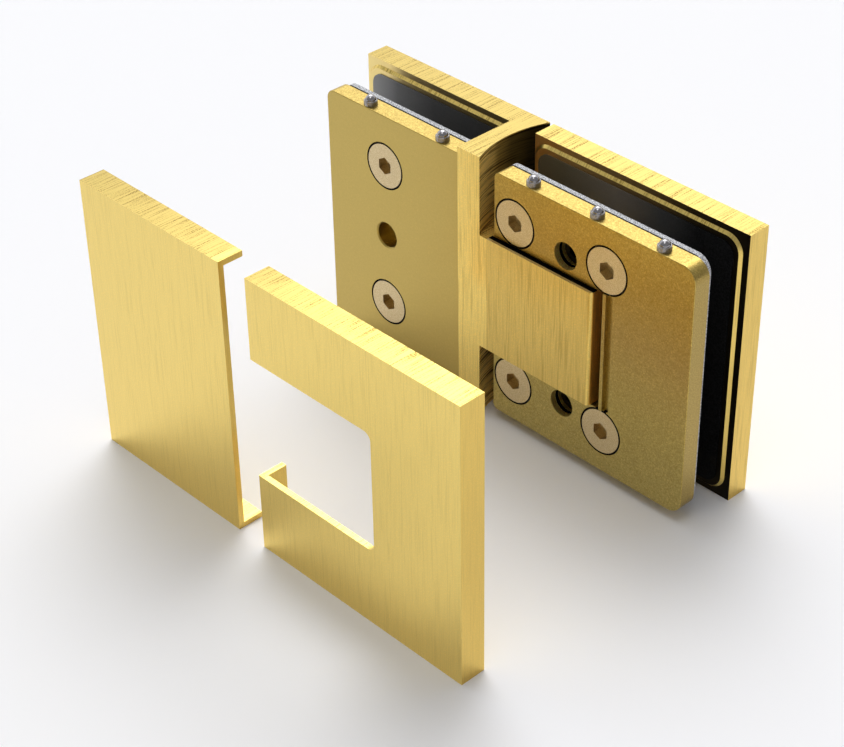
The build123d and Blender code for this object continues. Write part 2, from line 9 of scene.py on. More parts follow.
import bpy
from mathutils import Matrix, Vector

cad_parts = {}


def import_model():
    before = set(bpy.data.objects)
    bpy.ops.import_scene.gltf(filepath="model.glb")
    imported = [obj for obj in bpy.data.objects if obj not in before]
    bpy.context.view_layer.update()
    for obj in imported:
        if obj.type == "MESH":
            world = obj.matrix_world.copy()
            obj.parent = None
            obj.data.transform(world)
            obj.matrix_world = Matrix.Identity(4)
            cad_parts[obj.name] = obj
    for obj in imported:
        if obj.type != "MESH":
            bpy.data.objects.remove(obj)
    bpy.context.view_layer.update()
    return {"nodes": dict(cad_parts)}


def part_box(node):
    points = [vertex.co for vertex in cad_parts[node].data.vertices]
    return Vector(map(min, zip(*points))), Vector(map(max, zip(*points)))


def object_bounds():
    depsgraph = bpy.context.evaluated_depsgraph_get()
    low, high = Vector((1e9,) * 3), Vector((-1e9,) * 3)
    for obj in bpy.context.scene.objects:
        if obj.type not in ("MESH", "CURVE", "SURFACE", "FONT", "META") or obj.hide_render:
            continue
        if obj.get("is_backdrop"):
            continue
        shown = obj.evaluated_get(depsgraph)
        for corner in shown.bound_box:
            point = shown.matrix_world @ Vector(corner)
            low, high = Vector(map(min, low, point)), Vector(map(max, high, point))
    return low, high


LOG = logging.getLogger("hinge")
MM = 0.001
HEAD_RADIUS = 7.4 * MM

# Where the surfaces lie that get a painted tone, mostly painted light, shade and reflection, in
# millimetres
INNER_Z = (0.3, 89.7)
PLATE_TOP_Z = (89.8, 90.1)
RECESS_Y = (5.8, 7.0)
BODY_LEFT = -101.3
KNUCKLE_X = (-29.0, 12.0)
KNUCKLE_TOP_Z = (64.2, 64.4)
HOLLOW_X = (-35.2, -29.2)
HOLLOW_Y = (-14.4, 14.6)
LOCK_AXES = ((0.0, 19.6), (0.0, 70.4))

Colour = tuple[float, float, float, float]
Span = tuple[float, float]
Axes = tuple[tuple[float, float], ...]
Stops = tuple[tuple[float, Colour], ...]
Triple = tuple["Shade", "Shade", "Shade"]
Value = Union["Shade", float]
Source = Union["Shade", bpy.types.NodeSocket, float, Colour]


def screen_colour(red: int, green: int, blue: int) -> Colour:
    """Linear colour of a screen colour.

    Args:
        red: Red from 0 to 255.
        green: Green from 0 to 255.
        blue: Blue from 0 to 255.

    Returns:
        The colour in linear light, opaque.
    """
    def linear(level: int) -> float:
        """One channel in linear light."""
        share = level / 255
        return share / 12.92 if share <= 0.04045 else ((share + 0.055) / 1.055) ** 2.4

    return linear(red), linear(green), linear(blue), 1.0


def grey(level: float) -> Colour:
    """A neutral tone."""
    return level, level, level, 1.0


class Axis(IntEnum):
    """Axes of the hinge: along its length, from front to back, and up."""

    X = 0
    Y = 1
    Z = 2


class Blend(Enum):
    """How one colour goes over another."""

    COVER = "MIX"
    TINT = "MULTIPLY"
    LIGHTEN = "ADD"


class Shade:
    """A number on a node socket, combined by ordinary arithmetic."""

    def __init__(self, graph: "NodeGraph", socket: bpy.types.NodeSocket) -> None:
        """Wrap a socket of a graph."""
        self.graph = graph
        self.socket = socket

    def __add__(self, other: Value) -> "Shade":
        """Sum of two numbers."""
        return self.graph.maths("ADD", self, other)

    __radd__ = __add__

    def __sub__(self, other: Value) -> "Shade":
        """This number less another."""
        return self.graph.maths("SUBTRACT", self, other)

    def __rsub__(self, other: Value) -> "Shade":
        """Another number less this one."""
        return self.graph.maths("SUBTRACT", other, self)

    def __mul__(self, other: Value) -> "Shade":
        """Product of two numbers."""
        return self.graph.maths("MULTIPLY", self, other)

    __rmul__ = __mul__

    def __abs__(self) -> "Shade":
        """Size of this number without its sign."""
        return self.graph.maths("ABSOLUTE", self, 0.0)

    def between(self, low: float, high: float) -> "Shade":
        """Smooth rise from 0 at low to 1 at high, or a fall where high is the smaller.

        Args:
            low: Where the result is 0.
            high: Where the result is 1.

        Returns:
            The share along the rise.
        """
        node = self.graph.node("ShaderNodeMapRange", {"interpolation_type": "SMOOTHSTEP"},
                               {"Value": self, "From Min": low, "From Max": high})
        return Shade(self.graph, node.outputs["Result"])


class NodeGraph:
    """The nodes of one material or of the world."""

    def __init__(self, tree: bpy.types.NodeTree) -> None:
        """Start from an empty tree."""
        self.tree = tree
        self.tree.nodes.clear()

    def node(self, kind: str, settings: dict | None = None,
             inputs: dict | None = None) -> bpy.types.Node:
        """Add one node.

        Args:
            kind: Name of the node's type.
            settings: The node's own settings, with a ramp's stops under "stops".
            inputs: Values or links of its sockets, by name or number.

        Returns:
            The node.
        """
        made = self.tree.nodes.new(kind)
        for name, setting in (settings or {}).items():
            if name == "stops":
                self._set_stops(made.color_ramp, setting)
            else:
                setattr(made, name, setting)
        for name, source in (inputs or {}).items():
            self._feed(made.inputs[name], source)
        return made

    def _set_stops(self, ramp: bpy.types.ColorRamp, stops: Stops) -> None:
        """Give a ramp its colours in order.

        Args:
            ramp: The ramp of a new node.
            stops: Place from 0 to 1 and colour of each stop.
        """
        while len(ramp.elements) < len(stops):
            ramp.elements.new(1.0)
        for element, (place, colour) in zip(ramp.elements, stops):
            element.position = place
            element.color = colour

    def _feed(self, socket: bpy.types.NodeSocket, source: Source) -> None:
        """Link a socket, or set its value.

        Args:
            socket: The socket that is fed.
            source: What it gets, a number or colour or the output of another node.
        """
        if isinstance(source, Shade):
            self.tree.links.new(source.socket, socket)
        elif isinstance(source, bpy.types.NodeSocket):
            self.tree.links.new(source, socket)
        else:
            socket.default_value = source

    def maths(self, operation: str, first: Value, second: Value) -> Shade:
        """One Math node on two numbers."""
        node = self.node("ShaderNodeMath", {"operation": operation}, {0: first, 1: second})
        return Shade(self, node.outputs[0])

    def parts_of(self, socket: bpy.types.NodeSocket) -> Triple:
        """The three numbers of a vector."""
        node = self.node("ShaderNodeSeparateXYZ", None, {0: socket})
        return tuple(Shade(self, output) for output in node.outputs)

    def place(self) -> Triple:
        """Place on the object, in metres."""
        return self.parts_of(self.node("ShaderNodeTexCoord").outputs["Object"])

    def facing(self) -> Triple:
        """How far the surface faces along each axis of the object, without sign."""
        normal = self.node("ShaderNodeTexCoord").outputs["Normal"]
        return tuple(abs(part) for part in self.parts_of(normal))

    def vector(self, x: Value, y: Value, z: Value = 0.0) -> bpy.types.NodeSocket:
        """A vector made of three numbers."""
        return self.node("ShaderNodeCombineXYZ", None, {0: x, 1: y, 2: z}).outputs[0]

    def noise(self, vector: bpy.types.NodeSocket, scale: float, detail: float,
              roughness: float, dimensions: str = "3D") -> Shade:
        """Irregular pattern from 0 to 1.

        Args:
            vector: Where the pattern is read.
            scale: How many grains there are to one unit of the vector.
            detail: How many finer layers lie over the first.
            roughness: How strong the finer layers are.
            dimensions: "3D" for a pattern in space, "2D" for one on a plane.

        Returns:
            The pattern.
        """
        node = self.node("ShaderNodeTexNoise", {"noise_dimensions": dimensions},
                         {"Vector": vector, "Scale": scale, "Detail": detail,
                          "Roughness": roughness})
        return Shade(self, node.outputs[0])

    def mix(self, factor: Value, first: Source, second: Source,
            blend: Blend = Blend.COVER) -> bpy.types.NodeSocket:
        """Blend of two colours.

        Args:
            factor: How much of the second colour there is.
            first: The colour underneath.
            second: The colour on top.
            blend: How the second goes over the first.

        Returns:
            The blended colour.
        """
        node = self.node("ShaderNodeMix", {"data_type": "RGBA", "blend_type": blend.value},
                         {0: factor, 6: first, 7: second})
        return node.outputs[2]

    def ramp(self, share: Shade, stops: Stops) -> bpy.types.NodeSocket:
        """Colour read from a row of stops."""
        return self.node("ShaderNodeValToRGB", {"stops": stops}, {0: share}).outputs["Color"]

    def bump(self, height: Shade, strength: float, distance: float) -> bpy.types.NodeSocket:
        """Surface normal of a relief."""
        return self.node("ShaderNodeBump", None, {"Strength": strength, "Distance": distance,
                                                  "Height": height}).outputs[0]

    def finish(self, shader: bpy.types.Node, target: str = "ShaderNodeOutputMaterial") -> None:
        """Send a shader to the output."""
        output = self.node(target)
        self.tree.links.new(shader.outputs[0], output.inputs["Surface"])


def ring_mask(graph: NodeGraph, place: Triple, axes: Axes, radius: float) -> Shade:
    """Where a place lies within a radius of one of several axes along Y.

    Args:
        graph: The material's nodes.
        place: Place on the object.
        axes: The x and z of each axis.
        radius: How far the mask reaches.

    Returns:
        1 inside and 0 outside.
    """
    nearest = None
    for axis_x, axis_z in axes:
        off_x, off_z = place[0] - axis_x, place[2] - axis_z
        reach = off_x * off_x + off_z * off_z
        nearest = reach if nearest is None else graph.maths("MINIMUM", nearest, reach)
    return graph.maths("LESS_THAN", nearest, radius ** 2)


@dataclass(frozen=True)
class Patch:
    """A part of a surface with a painted tone, mostly painted light, shade or reflection, with its
    sizes in millimetres.
    """

    stops: Stops
    x: Span | None = None
    y: Span | None = None
    z: Span | None = None
    facing: Axis | None = None
    facing_edge: Span = (0.86, 0.96)
    along: Axis = Axis.X
    blend: Blend = Blend.COVER
    blur: float = 0.05
    rough: float | None = None
    axes: Axes = ()
    radius: float = 0.0

    def mask(self, graph: NodeGraph, place: Triple, facing: Triple) -> Shade:
        """Where the patch lies.

        Args:
            graph: The material's nodes.
            place: Place on the object.
            facing: How far the surface faces along each axis.

        Returns:
            1 on the patch and 0 off it.
        """
        shares = []
        for part, span in zip(place, (self.x, self.y, self.z)):
            if span is not None:
                low, high, edge = span[0] * MM, span[1] * MM, self.blur * MM
                shares.append(part.between(low - edge, low + edge))
                shares.append(part.between(high + edge, high - edge))
        if self.facing is not None:
            shares.append(facing[self.facing].between(*self.facing_edge))
        if self.axes:
            axes = tuple((x * MM, z * MM) for x, z in self.axes)
            shares.append(ring_mask(graph, place, axes, self.radius * MM))
        mask = shares[0]
        for share in shares[1:]:
            mask = mask * share
        return mask

    def tone(self, graph: NodeGraph, place: Triple) -> Source:
        """Colour of the patch, which may change along one axis.

        Args:
            graph: The material's nodes.
            place: Place on the object.

        Returns:
            The colour.
        """
        if len(self.stops) == 1:
            return self.stops[0][1]
        low, high = (self.x, self.y, self.z)[self.along]
        share = (place[self.along] - low * MM) * (1 / ((high - low) * MM))
        return graph.ramp(share, self.stops)

    def lay(self, graph: NodeGraph, place: Triple, facing: Triple,
            colour: Source, rough: Shade) -> tuple[bpy.types.NodeSocket, Shade]:
        """Lay the tone over a colour, and the patch's roughness over a roughness.

        Args:
            graph: The material's nodes.
            place: Place on the object.
            facing: How far the surface faces along each axis.
            colour: The colour under the patch.
            rough: The roughness under the patch.

        Returns:
            The colour and the roughness with the patch on them.
        """
        mask = self.mask(graph, place, facing)
        tone = self.tone(graph, place)
        if self.rough is not None:
            rough = rough + mask * (self.rough - rough)
        return graph.mix(mask, colour, tone, self.blend), rough


class Finish:
    """A material that is made on first use."""

    name: str

    @property
    def full_name(self) -> str:
        """Name of the material, unlike any that comes with the frame."""
        return f"finish_{self.name}"

    def material(self) -> bpy.types.Material:
        """The material, made once.

        Returns:
            The new material, or the one made before.
        """
        known = bpy.data.materials.get(self.full_name)
        if known is not None:
            return known
        made = bpy.data.materials.new(self.full_name)
        made.use_nodes = True
        self.paint(NodeGraph(made.node_tree))
        return made

    def paint(self, graph: NodeGraph) -> None:
        """Build the nodes."""
        raise NotImplementedError


@dataclass(frozen=True)
class BrushedGold(Finish):
    """Bright gold plating, brushed across the upper edges and upright on the faces."""

    name: str = "brushed_gold"
    pale: Colour = screen_colour(240, 213, 124)
    deep: Colour = screen_colour(140, 112, 44)
    # Painted shade: faces that look along the hinge are tinted darker and warmer
    side: Colour = (0.86, 0.80, 0.68, 1.0)
    turn_edge: Span = (0.6, 0.8)
    face_contrast: float = 0.10
    edge_contrast: float = 1.0
    roughness: float = 0.30
    scratch_rough: float = 0.08
    lines_per_metre: float = 2200.0
    line_edge: Span = (0.53, 0.40)
    bands_per_metre: float = 420.0
    band_edge: Span = (0.56, 0.38)
    band_base: float = 0.45
    band_share: float = 0.55
    line_run: float = 60.0
    band_run: float = 30.0
    grains_per_metre: float = 2400.0
    break_edge: Span = (0.42, 0.54)
    break_share: float = 0.7
    spark: Colour = (1.22, 1.14, 1.0, 1.0)
    spark_edge: Span = (0.50, 0.66)
    spark_share: float = 0.35
    line_height: float = 0.7
    band_height: float = 0.3
    relief: float = 0.22
    relief_depth: float = 0.05 * MM
    hollow: Span | None = None
    hollow_blur: float = 0.1 * MM
    hollow_edge: Span = (0.55, 0.9)
    patches: tuple[Patch, ...] = ()

    def hollow_mask(self, x: Shade, side: Shade, is_top: Shade) -> Shade | None:
        """Where the surface is the hollow of the web, which is brushed round its curve.

        Args:
            x: Place along the hinge.
            side: How far the surface faces along it.
            is_top: Where the surface faces up or down.

        Returns:
            1 in the hollow and 0 outside, or None on a piece that has no hollow.
        """
        if self.hollow is None:
            return None
        low, high = self.hollow
        inside = x.between(low, low + self.hollow_blur)
        inside = inside * x.between(high, high - self.hollow_blur)
        return inside * (1.0 - is_top) * side.between(*self.hollow_edge)

    def paint(self, graph: NodeGraph) -> None:
        """Build the nodes.

        Args:
            graph: The material's nodes.
        """
        place, facing = graph.place(), graph.facing()
        x, y, z = place
        side, _, top = facing
        is_side, is_top = side.between(*self.turn_edge), top.between(*self.turn_edge)
        across = x + is_side * (y - x)
        along = z + is_top * (y - z)
        inside = self.hollow_mask(x, side, is_top)
        if inside is not None:
            across = across + inside * (z - across)
            along = along + inside * (y - along)
        lines = graph.noise(graph.vector(across * self.lines_per_metre, along * self.line_run),
                            1.0, detail=2.0, roughness=0.5, dimensions="2D")
        bands = graph.noise(graph.vector(across * self.bands_per_metre, along * self.band_run),
                            1.0, detail=2.0, roughness=0.5, dimensions="2D")
        grain = graph.noise(graph.vector(x, y, z), self.grains_per_metre, detail=1.0,
                            roughness=0.5)
        band = self.band_base + bands.between(*self.band_edge) * self.band_share
        scratch = lines.between(*self.line_edge) * band
        scratch = scratch * (1.0 - is_top * grain.between(*self.break_edge) * self.break_share)
        contrast = self.face_contrast + is_top * (self.edge_contrast - self.face_contrast)
        if inside is not None:
            contrast = contrast + inside * (self.edge_contrast - contrast)
        colour = graph.mix(contrast * scratch, self.pale, self.deep)
        colour = graph.mix(grain.between(*self.spark_edge) * self.spark_share, colour,
                           self.spark, Blend.TINT)
        # Painted shade on the faces that look along the hinge
        colour = graph.mix(is_side, colour, self.side, Blend.TINT)
        rough = self.roughness + contrast * scratch * self.scratch_rough
        for patch in self.patches:
            colour, rough = patch.lay(graph, place, facing, colour, rough)
        height = 1.0 - (lines * self.line_height + bands * self.band_height)
        shader = graph.node("ShaderNodeBsdfPrincipled", None, {
            "Base Color": colour, "Metallic": 1.0, "Roughness": rough,
            "Normal": graph.bump(height, self.relief, self.relief_depth)})
        graph.finish(shader)


@dataclass(frozen=True)
class SatinGold(Finish):
    """Darker blasted gold of the clamp plates, finely speckled, with painted shadow in black round
    the screws and painted shade on the sides.
    """

    name: str = "satin_gold"
    base: Colour = screen_colour(192, 168, 94)
    grain: Colour = (0.70, 0.62, 0.45, 1.0)
    grain_edge: Span = (0.50, 0.36)
    grain_share: float = 0.30
    spark: Colour = (1.60, 1.55, 1.50, 1.0)
    spark_edge: Span = (0.55, 0.66)
    # Painted shade: faces that look along the hinge are tinted darker and greyer
    side: Colour = (0.74, 0.72, 0.74, 1.0)
    side_edge: Span = (0.75, 0.95)
    top_edge: Span = (0.8, 0.95)
    top_share: float = 0.80
    roughness: float = 0.34
    cloud_rough: float = 0.06
    grain_rough: float = 0.2
    grains_per_metre: float = 2300.0
    clouds_per_metre: float = 60.0
    relief: float = 0.35
    relief_depth: float = 0.05 * MM
    screws: Axes = ()
    # Painted shadow: black on the plate round each screw head, behind its face
    ring: Colour = grey(0.003)
    sink_shadow_radius: float = 7.8 * MM
    sink_shadow_rough: float = 0.3
    sink_shadow_depth: float = 0.03 * MM
    face_y: float = 0.0
    patches: tuple[Patch, ...] = ()

    def paint(self, graph: NodeGraph) -> None:
        """Build the nodes.

        Args:
            graph: The material's nodes.
        """
        place, facing = graph.place(), graph.facing()
        side, _, top = facing
        spot = graph.noise(graph.vector(*place), self.grains_per_metre, detail=2.0,
                           roughness=0.7)
        cloud = graph.noise(graph.vector(*place), self.clouds_per_metre, detail=2.0,
                            roughness=0.5)
        # Painted shade on the faces that look along the hinge
        colour = graph.mix(side.between(*self.side_edge), self.base, self.side, Blend.TINT)
        rough = self.roughness + (cloud - 0.5) * self.cloud_rough
        rough = rough + (spot - 0.5) * self.grain_rough
        for patch in self.patches:
            colour, rough = patch.lay(graph, place, facing, colour, rough)
        share = self.grain_share + top.between(*self.top_edge) * (self.top_share - self.grain_share)
        colour = graph.mix(spot.between(*self.grain_edge) * share, colour, self.grain, Blend.TINT)
        colour = graph.mix(spot.between(*self.spark_edge) * share, colour, self.spark, Blend.TINT)
        # Painted shadow in black in the countersinks round the screws
        if self.screws:
            dark = ring_mask(graph, place, self.screws, self.sink_shadow_radius)
            dark = dark * graph.maths("GREATER_THAN", place[1], self.face_y + self.sink_shadow_depth)
            colour = graph.mix(dark, colour, self.ring)
            rough = rough + dark * self.sink_shadow_rough
        shader = graph.node("ShaderNodeBsdfPrincipled", None, {
            "Base Color": colour, "Metallic": 1.0, "Roughness": rough,
            "Normal": graph.bump(spot, self.relief, self.relief_depth)})
        graph.finish(shader)


@dataclass(frozen=True)
class ScrewMetal(Finish):
    """Champagne plating of the clamp screws, with painted shadow in black on the rim of each head."""

    name: str = "champagne_screw"
    base: Colour = screen_colour(220, 202, 162)
    grain: Colour = screen_colour(198, 176, 132)
    grain_edge: Span = (0.62, 0.38)
    # Painted shadow: black on the rim of each head, outside the radius below
    rim: Colour = (0.004, 0.003, 0.002, 1.0)
    rim_shadow_radius: float = 7.12 * MM
    roughness: float = 0.38
    grain_rough: float = 0.2
    grains_per_metre: float = 3400.0
    relief: float = 0.25
    relief_depth: float = 0.03 * MM
    screws: Axes = ()

    def paint(self, graph: NodeGraph) -> None:
        """Build the nodes.

        Args:
            graph: The material's nodes.
        """
        place = graph.place()
        spot = graph.noise(graph.vector(*place), self.grains_per_metre, detail=2.0,
                           roughness=0.65)
        colour = graph.mix(spot.between(*self.grain_edge), self.base, self.grain)
        # Painted shadow in black on the rim of each head
        rim = 1.0 - ring_mask(graph, place, self.screws, self.rim_shadow_radius)
        colour = graph.mix(rim, colour, self.rim)
        shader = graph.node("ShaderNodeBsdfPrincipled", None, {
            "Base Color": colour, "Metallic": 1.0,
            "Roughness": self.roughness + (spot - 0.5) * self.grain_rough,
            "Normal": graph.bump(spot, self.relief, self.relief_depth)})
        graph.finish(shader)


@dataclass(frozen=True)
class PlainMetal(Finish):
    """Turned or ground metal with a fine even grain."""

    name: str = "ground_steel"
    base: Colour = screen_colour(190, 190, 192)
    grain: Colour = screen_colour(150, 150, 152)
    grain_edge: Span = (0.65, 0.35)
    roughness: float = 0.3
    grain_rough: float = 0.15
    grains_per_metre: float = 3000.0
    relief: float = 0.2
    relief_depth: float = 0.02 * MM

    def paint(self, graph: NodeGraph) -> None:
        """Build the nodes.

        Args:
            graph: The material's nodes.
        """
        spot = graph.noise(graph.vector(*graph.place()), self.grains_per_metre, detail=2.0,
                           roughness=0.6)
        colour = graph.mix(spot.between(*self.grain_edge), self.base, self.grain)
        shader = graph.node("ShaderNodeBsdfPrincipled", None, {
            "Base Color": colour, "Metallic": 1.0,
            "Roughness": self.roughness + (spot - 0.5) * self.grain_rough,
            "Normal": graph.bump(spot, self.relief, self.relief_depth)})
        graph.finish(shader)


@dataclass(frozen=True)
class Rubber(Finish):
    """Moulded or cut sheet with a fine speckle."""

    name: str = "pad_rubber"
    base: Colour = screen_colour(3, 3, 3)
    fleck: Colour = screen_colour(20, 20, 20)
    fleck_edge: Span = (0.42, 0.60)
    roughness: float = 0.20
    fleck_rough: float = 0.2
    flecks_per_metre: float = 2200.0
    relief: float = 0.2
    relief_depth: float = 0.04 * MM
    shine: float = 0.06
    patches: tuple[Patch, ...] = ()

    def paint(self, graph: NodeGraph) -> None:
        """Build the nodes.

        Args:
            graph: The material's nodes.
        """
        place, facing = graph.place(), graph.facing()
        spot = graph.noise(graph.vector(*place), self.flecks_per_metre, detail=3.0,
                           roughness=0.7)
        colour = graph.mix(spot.between(*self.fleck_edge), self.base, self.fleck)
        rough = self.roughness + (spot - 0.5) * self.fleck_rough
        for patch in self.patches:
            colour, rough = patch.lay(graph, place, facing, colour, rough)
        shader = graph.node("ShaderNodeBsdfPrincipled", None, {
            "Base Color": colour, "Metallic": 0.0, "Specular IOR Level": self.shine,
            "Roughness": rough,
            "Normal": graph.bump(spot, self.relief, self.relief_depth)})
        graph.finish(shader)


class SharedFinish(Enum):
    """Finishes that several pieces share."""

    STEEL = PlainMetal()
    SLEEVE = PlainMetal(
        name="turned_sleeve", base=screen_colour(176, 172, 170), grain=screen_colour(150, 146, 144),
        roughness=0.38, grains_per_metre=2500.0, relief=0.05)
    BALL = PlainMetal(
        name="polished_ball", base=screen_colour(180, 178, 182), grain=screen_colour(168, 166, 170),
        roughness=0.16, grains_per_metre=2500.0, relief=0.02)
    BLACK_STEEL = PlainMetal(
        name="blackened_screw", base=screen_colour(44, 42, 40), grain=screen_colour(28, 27, 26),
        roughness=0.35)
    # The pads get painted light and reflection: grey at the left end, fading to black to the right,
    # with a warm brown part between
    PAD = Rubber(patches=(
        Patch(((0.02, grey(0.400)), (0.06, grey(0.300)), (0.087, grey(0.210)), (0.195, grey(0.090)),
               (0.302, grey(0.060)), (0.40, grey(0.040)), (0.49, (0.150, 0.120, 0.065, 1.0)),
               (0.544, (0.135, 0.110, 0.060, 1.0)), (0.685, (0.165, 0.140, 0.110, 1.0)),
               (0.80, grey(0.050)), (0.88, grey(0.006)), (1.0, grey(0.002))),
              x=(-100.0, 49.0), blend=Blend.LIGHTEN),))
    LINER = Rubber(
        name="liner_sheet", base=screen_colour(124, 126, 132), fleck=screen_colour(228, 230, 234),
        roughness=0.5, flecks_per_metre=2400.0, relief=0.4, shine=0.5,
        patches=(Patch(((0.0, grey(0.004)),), y=(-8.0, -6.0), blur=0.02, rough=0.9),))
    POLYMER = Rubber(
        name="bush_plastic", base=screen_colour(38, 38, 40), fleck=screen_colour(50, 50, 52),
        roughness=0.5, flecks_per_metre=1500.0, relief=0.1, shine=0.5)


@dataclass
class SubAssembly:
    """A group of pieces that come apart together."""

    nodes: dict[str, bpy.types.Object]
    dressed: list[str] = field(default_factory=list)

    def dress(self, node: str, finish: Finish) -> None:
        """Give a solid its finish.

        Args:
            node: Name of the solid.
            finish: The finish it gets.
        """
        mesh = self.nodes[node].data
        mesh.materials.clear()
        mesh.materials.append(finish.material())
        self.dressed.append(node)
        LOG.info("%s has the finish %s", node, finish.name)


@dataclass
class FixedSide(SubAssembly):
    """The side that stays on the fixed glass: casting, clamp plate, pads and screws."""

    plate_screws: str = "fixed_plate_screws"
    hollow: Span = (-41.0 * MM, -29.0 * MM)
    face_contrast: float = 0.30
    spark_share: float = 0.6
    plate_grain: float = 0.12
    painted_light_and_shade: tuple[Patch, ...] = (
        # Recess behind the pad: painted shade and reflection, gold at the left end and dark to the
        # right
        Patch(((0.0, (0.86, 0.68, 0.27, 1.0)), (0.16, (0.80, 0.62, 0.25, 1.0)),
               (0.27, (0.36, 0.27, 0.11, 1.0)), (0.5, (0.26, 0.19, 0.08, 1.0)),
               (1.0, (0.16, 0.12, 0.04, 1.0))),
              x=(BODY_LEFT, -40.8), y=RECESS_Y, facing=Axis.Y),
        # Upper edge of the knuckle: a painted highlight in front and painted shadow behind
        Patch(((0.0, (0.95, 0.80, 0.40, 1.0)),), x=KNUCKLE_X, y=(-14.6, -13.6), z=KNUCKLE_TOP_Z,
              facing=Axis.Z, rough=0.5),
        Patch(((0.0, grey(0.004)),), x=KNUCKLE_X, y=(-13.6, -12.0), z=KNUCKLE_TOP_Z,
              facing=Axis.Z, rough=0.6),
        # End of the knuckle, facing the lip: a painted reflection, tinted warmer
        Patch(((0.0, (1.05, 0.78, 0.50, 1.0)),), x=(11.6, KNUCKLE_X[1]), z=(25.7, 64.3),
              facing=Axis.X, blend=Blend.TINT, rough=0.5),
        # Hollow of the web: painted shade, darker to the back, and redder above the knuckle
        Patch(((0.0, grey(1.0)), (0.30, grey(0.80)), (0.55, grey(0.25)), (0.80, grey(0.08)),
               (1.0, grey(0.06))),
              x=HOLLOW_X, y=HOLLOW_Y, z=INNER_Z, along=Axis.Y, blend=Blend.TINT, rough=0.75),
        Patch(((0.0, (1.0, 0.78, 0.46, 1.0)), (1.0, grey(1.0))),
              x=HOLLOW_X, y=HOLLOW_Y, z=(48.0, 74.0), along=Axis.Z, blend=Blend.TINT, blur=4.0),
        # Front of the hollow: painted light, lighter and bluer
        Patch(((0.0, (1.40, 1.50, 2.00, 1.0)),), x=(-38.0, -26.0), y=(-16.0, -5.0), z=INNER_Z,
              facing=Axis.X, blend=Blend.TINT, blur=2.0),
        # Upper edge of the casting: painted shade, darker
        Patch(((0.0, grey(0.62)), (1.0, grey(0.66))), x=(BODY_LEFT, -29.0), z=PLATE_TOP_Z,
              facing=Axis.Z, blend=Blend.TINT),
        # Front of the knuckle
        Patch(((0.0, (0.80, 0.78, 0.76, 1.0)),), x=KNUCKLE_X, y=(-14.6, -14.4), z=(25.0, 65.0),
              facing=Axis.Y, blend=Blend.TINT),
    )

    def build(self) -> None:
        """Dress every piece of the fixed side."""
        plate_low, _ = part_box("fixed_front_plate")
        screws = screw_places(self.plate_screws, 1, 2)
        gold = BrushedGold("brushed_gold_body", hollow=self.hollow, patches=self.painted_light_and_shade,
                           face_contrast=self.face_contrast, spark_share=self.spark_share)
        satin = SatinGold("satin_gold_fixed", screws=screws, face_y=plate_low.y,
                          grain_share=self.plate_grain)
        self.dress("hinge_body", gold)
        self.dress("fixed_front_plate", satin)
        self.dress("fixed_front_gasket", SharedFinish.LINER.value)
        self.dress("fixed_rear_gasket", SharedFinish.PAD.value)
        self.dress(self.plate_screws, ScrewMetal("champagne_screw_fixed", screws=screws))


@dataclass
class Leaf(SubAssembly):
    """The side that carries the door glass."""

    plate_screws: str = "leaf_plate_screws"
    face_contrast: float = 0.22
    plate_grain: float = 0.55
    rear_painted_shade: tuple[Patch, ...] = (
        # Recess behind the pad: painted shade and reflection, orange at the left end and near black
        # to the right
        Patch(((0.0, (0.90, 0.52, 0.16, 1.0)), (0.12, (0.60, 0.36, 0.12, 1.0)),
               (0.35, (0.30, 0.20, 0.08, 1.0)), (0.75, (0.05, 0.035, 0.015, 1.0)),
               (1.0, (0.012, 0.009, 0.005, 1.0))),
              x=(-30.5, 48.9), y=RECESS_Y, facing=Axis.Y, rough=0.5),
        # Upper edge: painted shade, darker
        Patch(((0.0, grey(0.80)),), x=(-31.0, 49.0), z=PLATE_TOP_Z, facing=Axis.Z,
              blend=Blend.TINT),
    )
    front_painted_light_and_shade: tuple[Patch, ...] = (
        # Face of the clamp plate, from its foot to its upper edge: a painted reflection, olive at the
        # foot and orange higher up
        Patch(((0.0, (0.480, 0.385, 0.130, 1.0)), (0.30, (0.435, 0.335, 0.102, 1.0)),
               (0.60, (0.400, 0.275, 0.082, 1.0)), (0.85, (0.430, 0.290, 0.066, 1.0)),
               (1.0, (0.500, 0.350, 0.080, 1.0))),
              x=(-31.0, 49.0), z=(3.5, 86.5), facing=Axis.Y, along=Axis.Z),
        # Walls of the lock holes with painted light, and painted shadow in a black ring inside them
        Patch(((0.0, (1.0, 0.78, 0.28, 1.0)),), y=(-12.35, -6.6), axes=LOCK_AXES, radius=4.5,
              rough=0.45, blur=0.02),
        Patch(((0.0, grey(0.002)),), y=(-10.35, -9.25), axes=LOCK_AXES, radius=6.5, rough=0.9,
              blur=0.02),
    )

    def build(self) -> None:
        """Dress every piece of the leaf."""
        screws_low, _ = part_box("leaf_plate_screws")
        screws = screw_places(self.plate_screws, 2, 2)
        gold = BrushedGold("brushed_gold_leaf", face_contrast=self.face_contrast,
                           patches=self.rear_painted_shade)
        satin = SatinGold("satin_gold_leaf", screws=screws, face_y=screws_low.y,
                          grain_share=self.plate_grain, patches=self.front_painted_light_and_shade)
        self.dress("leaf_rear_plate", gold)
        self.dress("leaf_front_plate", satin)
        self.dress("leaf_front_gasket", SharedFinish.LINER.value)
        self.dress("leaf_rear_gasket", SharedFinish.PAD.value)
        self.dress(self.plate_screws, ScrewMetal("champagne_screw_leaf", screws=screws))


